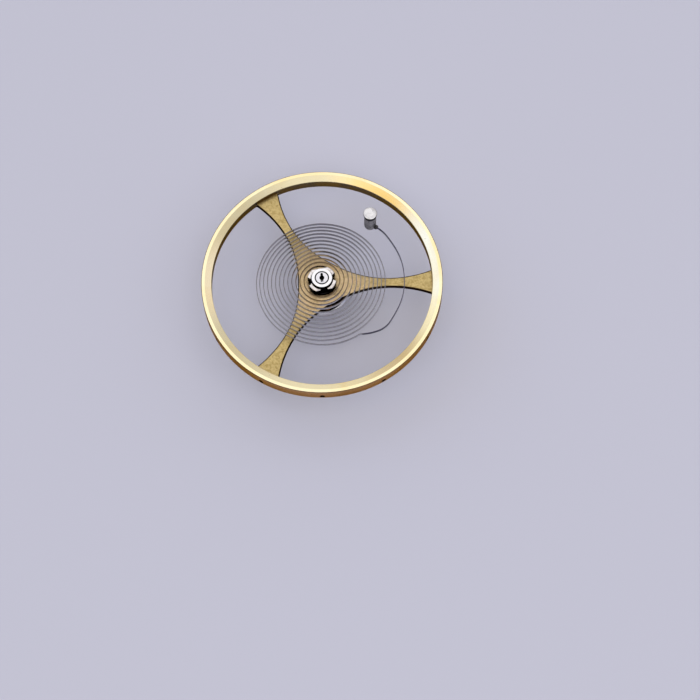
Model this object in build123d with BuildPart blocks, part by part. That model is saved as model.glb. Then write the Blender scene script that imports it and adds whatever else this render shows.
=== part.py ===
from build123d import *

import os
from math import asin, cos, degrees, radians, sin, sqrt

os.makedirs("parts", exist_ok=True)

# Complete balance of a mechanical watch: wheel, staff, collet, hairspring, stud and roller.
# Millimetres. The origin is the tip of the lower pivot, +Z is the staff's axis towards the
# stud, and the first of the three arms lies along +X.

# Wheel
rim_radius = 5.0
rim_width = 0.42
rim_height = 0.57
rim_land = 0.15
rim_bevel_drop = 0.12
rim_edge_break = 0.02
arm_count = 3
arm_thickness = 0.19
arm_waist_width = 0.40
arm_waist_radius = 2.80
arm_flare_radius = 4.80
arm_corner_radius = 0.07
hub_flat_width = 0.372
poise_hole_count = 12
poise_hole_radius = 0.097
poise_hole_depth = 0.22
poise_hole_height = 0.16

# Staff
pivot_radius = 0.052
pivot_length = 0.25
pivot_tip_chamfer = 0.015
lower_cone_height = 0.15
lower_cone_radius = 0.14
roller_seat_radius = 0.21
staff_below_roller = 0.20
staff_hub_radius = 0.42
staff_hub_height = 0.33
staff_flange_radius = 0.60
staff_flange_height = 0.20
wheel_seat_radius = 0.50
rivet_lip_width = 0.03
rivet_lip_height = 0.06
collet_seat_radius = 0.27
staff_top_chamfer = 0.014
upper_cone_height = 0.13
upper_cone_radius = 0.097

# Roller with its table, its sleeve and its safety roller
table_radius = 1.06
table_thickness = 0.20
table_chamfer = 0.03
sleeve_radius = 0.35
sleeve_height = 0.25
safety_radius = 0.55
safety_height = 0.25
crescent_radius = 0.14
crescent_offset = 0.05

# Impulse jewel and its shellac
jewel_radius = 0.11
jewel_flat = 0.055
jewel_circle_radius = 0.74
jewel_angle = 285
jewel_above_table = 0.06
jewel_below_table = 0.28
shellac_radius = 0.20
shellac_height = 0.04

# Collet
collet_radius = 0.60
collet_lift = 0.02
collet_base_height = 0.36
collet_flat_distance = 0.50
collet_notch_radius = 0.17
collet_notch_distance = 0.61
collet_turned = 10
boss_radius = 0.43
boss_height = 0.04
boss_bevel_height = 0.10
boss_land_radius = 0.33
countersink_radius = 0.32
countersink_depth = 0.05

# Hairspring
blade_thickness = 0.032
blade_height = 0.12
spring_lift = 0.29
spring_seat_depth = 0.025
spring_seat_clearance = 0.004
spring_seat_lead = 3
spring_seat_angle = 35
whole_turns = 12
coil_start_angle = 45
coil_end_angle = 240
rim_to_regulator_arc = 1.17
regulator_arc_to_coil = 0.58
start_shift_x = -0.047
start_shift_y = -0.010
end_shift_x = -0.014
end_shift_y = -0.100
shift_growth_power = 2.5
last_turns_squeeze = 0.042
squeeze_power = 8
kink_length = 0.06

# The stretch from the coil to the stud: polar angle, and the share of the way out from the
# coil to the regulator arc
terminal_shares = [
    (-58.9, 0.077),
    (-49.9, 0.481),
    (-41.9, 0.822),
    (-34.0, 0.921),
    (-15.1, 0.986),
    (1.1, 1.003),
    (17.4, 0.990),
    (36.6, 0.938),
]
kink_entry_heading = 32.5
kink_exit_heading = 9.0

# Stud and its cement
stud_radius = 0.285
stud_length = 1.10
stud_lift = 0.18
stud_chamfer = 0.03
stud_inset = 0.13
stud_angle = 51.33
stud_entry_heading = 146.5
stud_hole_radius = 0.075
spring_past_stud_axis = 0.15
cement_radius = 0.11

# How far a cutting shape runs past what it cuts
overrun = 0.5

# Heights that follow
safety_bottom = pivot_length + lower_cone_height + staff_below_roller
sleeve_bottom = safety_bottom + safety_height
table_bottom = sleeve_bottom + sleeve_height
table_top = table_bottom + table_thickness
flange_bottom = table_top + staff_hub_height
wheel_bottom = flange_bottom + staff_flange_height
arm_top = wheel_bottom + arm_thickness
rim_top = wheel_bottom + rim_height
lip_top = arm_top + rivet_lip_height
collet_bottom = lip_top + collet_lift
collet_base_top = collet_bottom + collet_base_height
boss_shoulder = collet_base_top + boss_height
boss_top = boss_shoulder + boss_bevel_height
upper_pivot_bottom = boss_top + upper_cone_height
staff_top = upper_pivot_bottom + pivot_length
spring_plane = arm_top + spring_lift
stud_bottom = arm_top + stud_lift

# Radii that follow
rim_inner_radius = rim_radius - rim_width
regulator_radius = rim_inner_radius - rim_to_regulator_arc
coil_outer_radius = regulator_radius - regulator_arc_to_coil
stud_circle_radius = regulator_radius - stud_inset
spring_seat_radius = collet_radius - spring_seat_depth
coil_inner_radius = spring_seat_radius + spring_seat_clearance + blade_thickness / 2


def polar(radius, angle):
    """Point of the XY plane at a polar angle in degrees."""
    return Vector(radius * cos(radians(angle)), radius * sin(radians(angle)))


# Balance wheel: a bevelled rim, three waisted arms and a flat-sided hub in one piece.
# Each window between two arms is drawn about +X: a hub flat, two arcs that leave it squarely
# and narrow the arms to their waist, and two that flare them out again to the rim.
arm_half_pitch = radians(180 / arm_count)
waist_x = arm_waist_radius * cos(arm_half_pitch) + arm_waist_width / 2 * sin(arm_half_pitch)
waist_y = arm_waist_radius * sin(arm_half_pitch) - arm_waist_width / 2 * cos(arm_half_pitch)
arm_root_radius = (waist_y - hub_flat_width / 2) / cos(arm_half_pitch)
hub_flat_distance = waist_x - arm_root_radius * (1 - sin(arm_half_pitch))
root_turn = 90 - degrees(arm_half_pitch)
flare_turn = degrees(asin((rim_radius - arm_waist_radius) / arm_flare_radius))

with BuildSketch() as window:
    with BuildLine():
        flat = Line((hub_flat_distance, 0), (hub_flat_distance, hub_flat_width / 2))
        root = JernArc(flat @ 1, flat % 1, arm_root_radius, -root_turn)
        flare = JernArc(root @ 1, root % 1, arm_flare_radius, -flare_turn)
        corner = flare @ 1
        mirror(about=Plane.XZ)
        ThreePointArc(corner, (corner.length, 0), (corner.X, -corner.Y))
    make_face()
    Circle(rim_inner_radius, mode=Mode.INTERSECT)
    fillet(window.vertices().sort_by_distance((0, 0))[-2:], radius=arm_corner_radius)

poise_hole_planes = [
    Plane(
        origin=polar(rim_radius, 360 * i / poise_hole_count)
        + Vector(0, 0, wheel_bottom + poise_hole_height),
        z_dir=-polar(1, 360 * i / poise_hole_count),
    )
    for i in range(poise_hole_count)
]

with BuildPart() as balance_wheel:
    with BuildSketch(Plane.XZ):
        with BuildLine():
            Polyline(
                (rim_inner_radius, wheel_bottom),
                (rim_radius - rim_edge_break, wheel_bottom),
                (rim_radius, wheel_bottom + rim_edge_break),
                (rim_radius, rim_top - rim_edge_break),
                (rim_radius - rim_edge_break, rim_top),
                (rim_radius - rim_land, rim_top),
                (rim_inner_radius, rim_top - rim_bevel_drop),
                close=True,
            )
        make_face()
    revolve(axis=Axis.Z)
    with BuildSketch(Plane.XY.offset(wheel_bottom)):
        Circle((rim_inner_radius + rim_radius) / 2)
        with PolarLocations(0, arm_count, start_angle=degrees(arm_half_pitch)):
            add(window.sketch, mode=Mode.SUBTRACT)
        Circle(wheel_seat_radius, mode=Mode.SUBTRACT)
    extrude(amount=arm_thickness)
    with BuildSketch(*poise_hole_planes):
        Circle(poise_hole_radius)
    extrude(amount=poise_hole_depth, mode=Mode.SUBTRACT)

# Staff: one turned arbor between the two pivots, with a seat for the roller, a flange below
# the wheel, a riveted lip over it, and a seat for the collet.
with BuildPart() as balance_staff:
    with BuildSketch(Plane.XZ):
        with BuildLine():
            Polyline(
                (0, 0),
                (pivot_radius - pivot_tip_chamfer, 0),
                (pivot_radius, pivot_tip_chamfer),
                (pivot_radius, pivot_length),
                (lower_cone_radius, pivot_length + lower_cone_height),
                (roller_seat_radius, pivot_length + lower_cone_height),
                (roller_seat_radius, table_top),
                (staff_hub_radius, table_top),
                (staff_hub_radius, flange_bottom),
                (staff_flange_radius, flange_bottom),
                (staff_flange_radius, wheel_bottom),
                (wheel_seat_radius, wheel_bottom),
                (wheel_seat_radius, arm_top),
                (wheel_seat_radius + rivet_lip_width, arm_top),
                (wheel_seat_radius, lip_top),
                (collet_seat_radius, lip_top),
                (collet_seat_radius, boss_top - staff_top_chamfer),
                (collet_seat_radius - staff_top_chamfer, boss_top),
                (upper_cone_radius, boss_top),
                (pivot_radius, upper_pivot_bottom),
                (pivot_radius, staff_top - pivot_tip_chamfer),
                (pivot_radius - pivot_tip_chamfer, staff_top),
                (0, staff_top),
                close=True,
            )
        make_face()
    revolve(axis=Axis.Z)

# Roller: the table that carries the impulse jewel, the sleeve, and the safety roller below
# it, with the crescent that lets the fork's dart pass, under the jewel.
jewel_axis = polar(jewel_circle_radius, jewel_angle)

with BuildSketch() as jewel_section:
    Circle(jewel_radius)
    with Locations((jewel_flat - jewel_radius, 0)):
        Rectangle(2 * jewel_radius, 2 * jewel_radius, mode=Mode.INTERSECT)

with BuildPart() as roller_table:
    with BuildSketch(Plane.XZ):
        with BuildLine():
            Polyline(
                (roller_seat_radius, safety_bottom),
                (safety_radius, safety_bottom),
                (safety_radius, sleeve_bottom),
                (sleeve_radius, sleeve_bottom),
                (sleeve_radius, table_bottom),
                (table_radius, table_bottom),
                (table_radius, table_top - table_chamfer),
                (table_radius - table_chamfer, table_top),
                (roller_seat_radius, table_top),
                close=True,
            )
        make_face()
    revolve(axis=Axis.Z)
    with BuildSketch(Plane.XY.offset(safety_bottom)):
        with PolarLocations(safety_radius + crescent_offset, 1, start_angle=jewel_angle):
            Circle(crescent_radius)
    extrude(amount=safety_height, mode=Mode.SUBTRACT)
    with BuildSketch(Plane.XY.offset(table_bottom)):
        with PolarLocations(jewel_circle_radius, 1, start_angle=jewel_angle):
            add(jewel_section.sketch)
    extrude(amount=table_thickness, mode=Mode.SUBTRACT)

# Impulse jewel: a pin of D section, its flat turned away from the staff.
with BuildPart() as impulse_jewel:
    with BuildSketch(Plane.XY.offset(table_bottom - jewel_below_table)):
        with PolarLocations(jewel_circle_radius, 1, start_angle=jewel_angle):
            add(jewel_section.sketch)
    extrude(amount=jewel_below_table + table_thickness + jewel_above_table)

# Shellac: a low bead on the table, around the jewel's upper end.
with BuildPart() as jewel_shellac:
    with BuildSketch(Plane.XY.offset(table_top)):
        with Locations(jewel_axis):
            Circle(shellac_radius)
        with PolarLocations(jewel_circle_radius, 1, start_angle=jewel_angle):
            add(jewel_section.sketch, mode=Mode.SUBTRACT)
    extrude(amount=shellac_height)
    bead_edge = jewel_shellac.faces().sort_by(Axis.Z)[-1].outer_wire().edges()
    fillet(bead_edge, radius=shellac_height / 2)

# Collet: a round with two flats and two notches, a bevelled boss on top, and a groove in one
# lobe for the spring's inner end.
spring_slot_height = blade_height + 2 * spring_seat_clearance

with BuildPart() as collet:
    with BuildSketch(Plane.XY.offset(collet_bottom)):
        Circle(collet_radius)
        Rectangle(
            2 * collet_radius,
            2 * collet_flat_distance,
            rotation=collet_turned,
            mode=Mode.INTERSECT,
        )
        with PolarLocations(collet_notch_distance, 2, start_angle=collet_turned):
            Circle(collet_notch_radius, mode=Mode.SUBTRACT)
    extrude(amount=collet_base_height)
    with BuildSketch(Plane.XZ):
        with BuildLine():
            Polyline(
                (0, collet_base_top),
                (boss_radius, collet_base_top),
                (boss_radius, boss_shoulder),
                (boss_land_radius, boss_top),
                (0, boss_top),
                close=True,
            )
        make_face()
    revolve(axis=Axis.Z)
    with BuildSketch(Plane.XZ):
        with BuildLine():
            Polyline(
                (0, collet_bottom),
                (collet_seat_radius, collet_bottom),
                (collet_seat_radius, boss_top - countersink_depth),
                (countersink_radius, boss_top),
                (0, boss_top),
                close=True,
            )
        make_face()
    revolve(axis=Axis.Z, mode=Mode.SUBTRACT)
    with BuildSketch(Plane.XY.offset(spring_plane - spring_slot_height / 2)):
        Circle(collet_radius + overrun)
        Circle(spring_seat_radius, mode=Mode.SUBTRACT)
        with BuildLine():
            Polyline(
                (0, 0),
                polar(2 * collet_radius, coil_start_angle - spring_seat_lead),
                polar(2 * collet_radius, coil_start_angle + spring_seat_angle),
                close=True,
            )
        make_face(mode=Mode.INTERSECT)
    extrude(amount=spring_slot_height, mode=Mode.SUBTRACT)

# Hairspring: one blade on edge. The coil's turns grow evenly, their centre wanders a little,
# and the last of them lie closer; then the blade steps out to the regulator arc.
coil_turn = 360 * whole_turns + coil_end_angle - coil_start_angle


def shift_along(offset_x, offset_y, angle):
    """How far a small offset of the turns' centre moves the coil at a polar angle."""
    return offset_x * cos(radians(angle)) + offset_y * sin(radians(angle))


mean_start_radius = coil_inner_radius - shift_along(start_shift_x, start_shift_y, coil_start_angle)
mean_end_radius = (
    coil_outer_radius + last_turns_squeeze - shift_along(end_shift_x, end_shift_y, coil_end_angle)
)


def coil_point(share):
    """Centre of the blade at a share of the coil's whole turn."""
    angle = coil_start_angle + coil_turn * share
    growth = share**shift_growth_power
    offset_x = start_shift_x + (end_shift_x - start_shift_x) * share
    offset_y = start_shift_y + (end_shift_y - start_shift_y) * growth
    radius = mean_start_radius + (mean_end_radius - mean_start_radius) * share
    radius += shift_along(offset_x, offset_y, angle) - last_turns_squeeze * share**squeeze_power
    return polar(radius, angle)


def coil_heading(share):
    """Direction of the blade at a share of the coil's whole turn."""
    step = 1 / (360 * whole_turns)
    before = coil_point(max(share - step, 0))
    return (coil_point(min(share + step, 1)) - before).normalized()


def biarc(start, start_heading, end, end_heading):
    """Point and heading where two arcs, each tangent at one end, meet smoothly."""
    chord = end - start
    both = start_heading + end_heading
    spread = 2 * (1 - start_heading.dot(end_heading))
    along = chord.dot(both)
    reach = (sqrt(along**2 + spread * chord.dot(chord)) - along) / spread
    first = start + start_heading * reach
    second = end - end_heading * reach
    return (first + second) / 2, (second - first).normalized()


stud_axis = polar(stud_circle_radius, stud_angle)
stud_entry = stud_axis - polar(stud_radius, stud_entry_heading)
kink_start = polar(
    coil_outer_radius + terminal_shares[0][1] * regulator_arc_to_coil, terminal_shares[0][0]
)
kink_heading = (kink_entry_heading + kink_exit_heading) / 2
kink_end = kink_start + polar(kink_length, kink_heading)
terminal_points = [
    polar(coil_outer_radius + out_share * regulator_arc_to_coil, angle)
    for angle, out_share in terminal_shares[1:]
]
around = [kink_end, *terminal_points, stud_entry]

half_turns = -int(-coil_turn // 180)
coil_shares = [i / half_turns for i in range(half_turns + 1)]
spring_nodes = [(coil_point(share), coil_heading(share)) for share in coil_shares]
spring_nodes.append((kink_start, polar(1, kink_entry_heading)))
spring_nodes.append((kink_end, polar(1, kink_exit_heading)))
for before, point, after in zip(around, around[1:], around[2:]):
    spring_nodes.append((point, (after - before).normalized()))
spring_nodes.append((stud_entry, polar(1, stud_entry_heading)))

spring_end = stud_axis + polar(spring_past_stud_axis, stud_entry_heading)
lift = Vector(0, 0, spring_plane)

with BuildPart() as hairspring:
    with BuildLine() as spring_path:
        for (start, start_heading), (end, end_heading) in zip(spring_nodes, spring_nodes[1:]):
            middle, middle_heading = biarc(start, start_heading, end, end_heading)
            TangentArc(start + lift, middle + lift, tangent=start_heading)
            TangentArc(middle + lift, end + lift, tangent=middle_heading)
        Line(stud_entry + lift, spring_end + lift)
    with BuildSketch(Plane(spring_path.line @ 0, x_dir=(0, 0, 1), z_dir=spring_nodes[0][1])):
        Rectangle(blade_height, blade_thickness)
    sweep(path=spring_path.line)

# Stud: a short post with a cross hole for the spring's outer end.
stud_hole_plane = Plane(stud_axis + lift, z_dir=polar(1, stud_entry_heading))

with BuildPart() as stud:
    with BuildSketch(Plane.XY.offset(stud_bottom)):
        with Locations(stud_axis):
            Circle(stud_radius)
    extrude(amount=stud_length)
    chamfer(stud.faces().sort_by(Axis.Z)[-1].edges(), length=stud_chamfer)
    chamfer(stud.faces().sort_by(Axis.Z)[0].edges(), length=stud_chamfer)
    with BuildSketch(stud_hole_plane):
        Circle(stud_hole_radius)
    extrude(amount=stud_radius + overrun, both=True, mode=Mode.SUBTRACT)

# Cement: a bead where the spring enters the stud.
with BuildPart() as stud_cement:
    with Locations(stud_entry + lift):
        Sphere(cement_radius)
    with BuildSketch(Plane.XY.offset(spring_plane - cement_radius)):
        with Locations(stud_axis):
            Circle(stud_radius)
    extrude(amount=2 * cement_radius, mode=Mode.SUBTRACT)
    add(hairspring.part, mode=Mode.SUBTRACT)


def spring_gap():
    """Least distance between two turns' faces, measured on points along the blade."""
    per_turn = 36
    count = round(coil_turn / 360 * per_turn)
    points = [coil_point(i / count) for i in range(count + 1)]
    points += [point for point, heading in spring_nodes[half_turns + 1 :]]
    gaps = [
        (first - second).length
        for i, first in enumerate(points)
        for second in points[i + per_turn // 2 :]
    ]
    return min(gaps) - blade_thickness


spring_length = sum(edge.length for edge in spring_path.edges())
swept_share = hairspring.part.volume / (spring_length * blade_height * blade_thickness)
print(f"hairspring: length {spring_length:.2f}, least gap to itself {spring_gap():.3f}")
print(f"hairspring: volume over section times length {swept_share:.5f}")

balance_wheel.part.label = "balance_wheel"
balance_staff.part.label = "balance_staff"
roller_table.part.label = "roller_table"
impulse_jewel.part.label = "impulse_jewel"
jewel_shellac.part.label = "jewel_shellac"
collet.part.label = "collet"
hairspring.part.label = "hairspring"
stud.part.label = "stud"
stud_cement.part.label = "stud_cement"

export_step(balance_wheel.part, "parts/balance_wheel.step")
export_step(balance_staff.part, "parts/balance_staff.step")
export_step(roller_table.part, "parts/roller_table.step")
export_step(impulse_jewel.part, "parts/impulse_jewel.step")
export_step(jewel_shellac.part, "parts/jewel_shellac.step")
export_step(collet.part, "parts/collet.step")
export_step(hairspring.part, "parts/hairspring.step")
export_step(stud.part, "parts/stud.step")
export_step(stud_cement.part, "parts/stud_cement.step")
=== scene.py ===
"""Looks of a watch balance: wheel, staff, collet, hairspring, stud and double roller.

Every size below is in millimetres, as it is on a drawing of the real parts. A mesh is brought
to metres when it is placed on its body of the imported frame.
"""

import logging
from collections.abc import Callable, Sequence
from dataclasses import dataclass, field
from enum import Enum
from functools import cache
from math import acos, atan2, cos, degrees, hypot, pi, radians, sin, sqrt
from typing import NamedTuple

import bmesh
import bpy
from bpy.types import Material, Mesh, NodeSocket, NodeTree, Object
from mathutils import Matrix, Vector, noise


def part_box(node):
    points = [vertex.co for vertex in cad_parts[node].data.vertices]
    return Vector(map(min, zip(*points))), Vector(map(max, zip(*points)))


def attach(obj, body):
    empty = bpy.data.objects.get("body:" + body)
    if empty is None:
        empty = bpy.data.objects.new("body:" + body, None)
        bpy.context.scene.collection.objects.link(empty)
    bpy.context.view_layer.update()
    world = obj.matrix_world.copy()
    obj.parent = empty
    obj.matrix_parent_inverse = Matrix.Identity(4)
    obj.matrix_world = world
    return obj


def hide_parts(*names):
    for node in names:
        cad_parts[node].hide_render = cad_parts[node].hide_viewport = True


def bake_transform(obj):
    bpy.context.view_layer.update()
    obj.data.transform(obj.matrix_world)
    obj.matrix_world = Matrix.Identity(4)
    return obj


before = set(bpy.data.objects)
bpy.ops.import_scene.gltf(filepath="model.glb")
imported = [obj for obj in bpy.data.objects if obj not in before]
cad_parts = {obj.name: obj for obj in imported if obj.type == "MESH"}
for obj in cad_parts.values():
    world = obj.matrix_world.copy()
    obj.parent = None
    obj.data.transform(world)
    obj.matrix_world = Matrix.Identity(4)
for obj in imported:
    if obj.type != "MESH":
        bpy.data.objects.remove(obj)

LOG = logging.getLogger("balance")

MM = 0.001
SHARP_ANGLE = radians(32)
WELD_DISTANCE = 1e-4
CORNER_CHORDS = 4
ORIGIN = Vector((0, 0))

# A face is level if its normal rises by more than LEVEL, and a wall if by less than WALL.
LEVEL = 0.98
WALL = 0.3

# Most values of a noise lie in the first of these spans, and nearly all in the second.
NOISE_CORE = (0.35, 0.65)
NOISE_SPAN = (0.3, 0.7)

Point = tuple[float, float]
Colour = tuple[float, float, float]
Feed = NodeSocket | float | Sequence[float]
Feeds = dict[str | int, Feed]


# Plain geometry


def polar(radius: float, angle: float) -> Vector:
    """Return the flat point at a radius and an angle in degrees."""
    return Vector((radius * cos(radians(angle)), radius * sin(radians(angle))))


def bearing(way: Vector) -> float:
    """Return the angle of a flat direction, in degrees."""
    return degrees(atan2(way.y, way.x))


def turned(point: Vector, angle: float) -> Vector:
    """Return a flat point turned about the origin by an angle in degrees."""
    return polar(point.length, bearing(point) + angle)


def laid_level(angle: float, spot: Vector) -> Matrix:
    """Return the move that lays an upright tool level at a spot, along an angle in degrees."""
    return Matrix.Translation(spot) @ polar(1, angle).to_3d().to_track_quat("Z", "Y").to_matrix().to_4x4()


def arc(radius: float, first: float, last: float, steps: int, centre: Vector = ORIGIN) -> list[Vector]:
    """Follow a circular arc.

    Args:
        radius: its radius.
        first: the angle where it begins, in degrees.
        last: the angle where it ends.
        steps: how many chords stand for it.
        centre: its centre.

    Returns:
        The arc's points, both ends among them.
    """
    return [centre + polar(radius, first + (last - first) * i / steps) for i in range(steps + 1)]


def circle(radius: float, steps: int, centre: Vector = ORIGIN) -> list[Vector]:
    """Return the points of a whole circle."""
    return arc(radius, 0, 360, steps, centre)[:-1]


def rounded(corners: Sequence[tuple[float, float, float]], closed: bool = True) -> list[Vector]:
    """Round the corners of an outline.

    Args:
        corners: x, y and the length that the rounding takes from each side, for each corner.
        closed: whether the outline comes back to its start.

    Returns:
        The outline's points, with a few chords in place of each rounded corner.
    """
    points: list[Vector] = []
    count = len(corners)
    for i, (x, y, cut) in enumerate(corners):
        here = Vector((x, y))
        if cut == 0 or (not closed and i in (0, count - 1)):
            points.append(here)
            continue
        before = Vector(corners[i - 1][:2])
        after = Vector(corners[(i + 1) % count][:2])
        first = here + (before - here).normalized() * cut
        last = here + (after - here).normalized() * cut
        for share in (step / CORNER_CHORDS for step in range(CORNER_CHORDS + 1)):
            rest = 1 - share
            points.append(first * rest**2 + here * 2 * share * rest + last * share**2)
    return points


def shrinkage(spot: Vector, depth: float) -> float:
    """Return 1 less an uneven share of a depth, by the noise at a spot."""
    return 1 - depth * (0.5 + 0.5 * noise.noise(spot))


@cache
def levels(node: str) -> Point:
    """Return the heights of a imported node's lowest and highest points, in millimetres."""
    low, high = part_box(node)
    return (low / MM).z, (high / MM).z


# Mesh building


def weld(shape: bmesh.types.BMesh) -> None:
    """Join points that fall together, and drop the faces that this flattens."""
    bmesh.ops.remove_doubles(shape, verts=shape.verts, dist=WELD_DISTANCE)
    bmesh.ops.dissolve_degenerate(shape, edges=shape.edges, dist=WELD_DISTANCE)


def object_of(name: str, shape: bmesh.types.BMesh) -> Object:
    """Turn a finished bmesh into an object of the scene.

    Args:
        name: the object's name.
        shape: the mesh, which is freed.

    Returns:
        The new object, with its faces turned outwards.
    """
    weld(shape)
    bmesh.ops.recalc_face_normals(shape, faces=shape.faces)
    mesh = bpy.data.meshes.new(name)
    shape.to_mesh(mesh)
    shape.free()
    made = bpy.data.objects.new(name, mesh)
    bpy.context.scene.collection.objects.link(made)
    return made


def skin(name: str, rings: Sequence[Sequence[Vector]], along: bool = False) -> Object:
    """Lay faces between rings of points.

    Args:
        name: the object's name.
        rings: rows of points, all of one length, or a row of one point for a tip.
        along: whether the last ring joins the first; if it doesn't, the open ends get a cap.

    Returns:
        The new object.
    """
    shape = bmesh.new()
    rows = [[shape.verts.new(point) for point in ring] for ring in rings]
    width = max(len(row) for row in rows)
    for lower, upper in zip(rows, rows[1:] + (rows[:1] if along else [])):
        for i in range(width):
            j = (i + 1) % width
            loop = [lower[i % len(lower)], lower[j % len(lower)]]
            loop += [upper[j % len(upper)], upper[i % len(upper)]]
            corners = list(dict.fromkeys(loop))
            if len(corners) > 2:
                shape.faces.new(corners)
    if not along:
        for row in (rows[0], rows[-1]):
            if len(row) > 2:
                shape.faces.new(row)
    return object_of(name, shape)


def lathe(name: str, profile: Sequence[Point | Vector], segments: int, closed: bool = False) -> Object:
    """Turn a profile about the Z axis.

    Args:
        name: the object's name.
        profile: radius and height of each of its points.
        segments: how many flats stand for the round.
        closed: whether the profile is a loop clear of the axis.

    Returns:
        The new object.
    """
    angles = [2 * pi * i / segments for i in range(segments)]
    rings = [
        [Vector((0, 0, height))]
        if radius < WELD_DISTANCE
        else [Vector((radius * cos(a), radius * sin(a), height)) for a in angles]
        for radius, height in map(Vector, profile)
    ]
    return skin(name, rings, along=closed)


def evaluated_mesh(source: Object) -> Mesh:
    """Return a new mesh of an object as its modifiers leave it."""
    graph = bpy.context.evaluated_depsgraph_get()
    return bpy.data.meshes.new_from_object(source.evaluated_get(graph))


def plate(name: str, outlines: Sequence[Sequence[Vector]], low: float, high: float, edge: float) -> Object:
    """Stand a flat outline, with any holes in it, up to a plate with rounded edges.

    Args:
        name: the object's name.
        outlines: the outer outline and those of the holes.
        low: height of the lower face.
        high: height of the upper face.
        edge: radius of the rounding along every edge.

    Returns:
        The new object.
    """
    curve = bpy.data.curves.new(name, "CURVE")
    curve.dimensions = "2D"
    curve.fill_mode = "BOTH"
    curve.extrude = (high - low) / 2 - edge
    curve.bevel_depth = edge
    curve.bevel_resolution = 2
    curve.offset = -edge
    for outline in outlines:
        spline = curve.splines.new("POLY")
        spline.points.add(len(outline) - 1)
        for point, place_on in zip(spline.points, outline):
            point.co = (place_on.x, place_on.y, 0, 1)
        spline.use_cyclic_u = True
    drawn = bpy.data.objects.new(name, curve)
    bpy.context.scene.collection.objects.link(drawn)
    mesh = evaluated_mesh(drawn)
    shape = bmesh.new()
    shape.from_mesh(mesh)
    bpy.data.objects.remove(drawn)
    bpy.data.curves.remove(curve)
    bpy.data.meshes.remove(mesh)
    bmesh.ops.translate(shape, verts=shape.verts, vec=(0, 0, (low + high) / 2))
    return object_of(name, shape)


class Cut(Enum):
    """What is done with the second solid of a pair."""

    TAKE_AWAY = "DIFFERENCE"
    JOIN = "UNION"


def combine(body: Object, other: Object, how: Cut = Cut.TAKE_AWAY) -> None:
    """Take one solid from another or join them, and drop the second.

    Args:
        body: the solid that is kept.
        other: the solid that is used up.
        how: what is done with it.
    """
    modifier = body.modifiers.new("cut", "BOOLEAN")
    modifier.operation = how.value
    modifier.solver = "EXACT"
    modifier.object = other
    mesh = evaluated_mesh(body)
    shape = bmesh.new()
    shape.from_mesh(mesh)
    weld(shape)
    shape.to_mesh(mesh)
    shape.free()
    body.modifiers.clear()
    worn_out = body.data
    body.data = mesh
    bpy.data.meshes.remove(worn_out)
    bpy.data.objects.remove(other)


def move(piece: Object, matrix: Matrix) -> Object:
    """Move a piece's mesh and return the piece."""
    piece.data.transform(matrix)
    return piece


def place(piece: Object, body: str, node: str) -> None:
    """Bring a finished piece to metres and hand it to its body.

    Args:
        piece: the piece, in millimetres.
        body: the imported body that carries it.
        node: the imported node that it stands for.
    """
    move(piece, Matrix.Scale(MM, 4))
    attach(piece, body)
    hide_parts(node)
    LOG.info("%s: %d faces, rides on %s, stands for %s", piece.name, len(piece.data.polygons), body, node)


# Shader graphs


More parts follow.
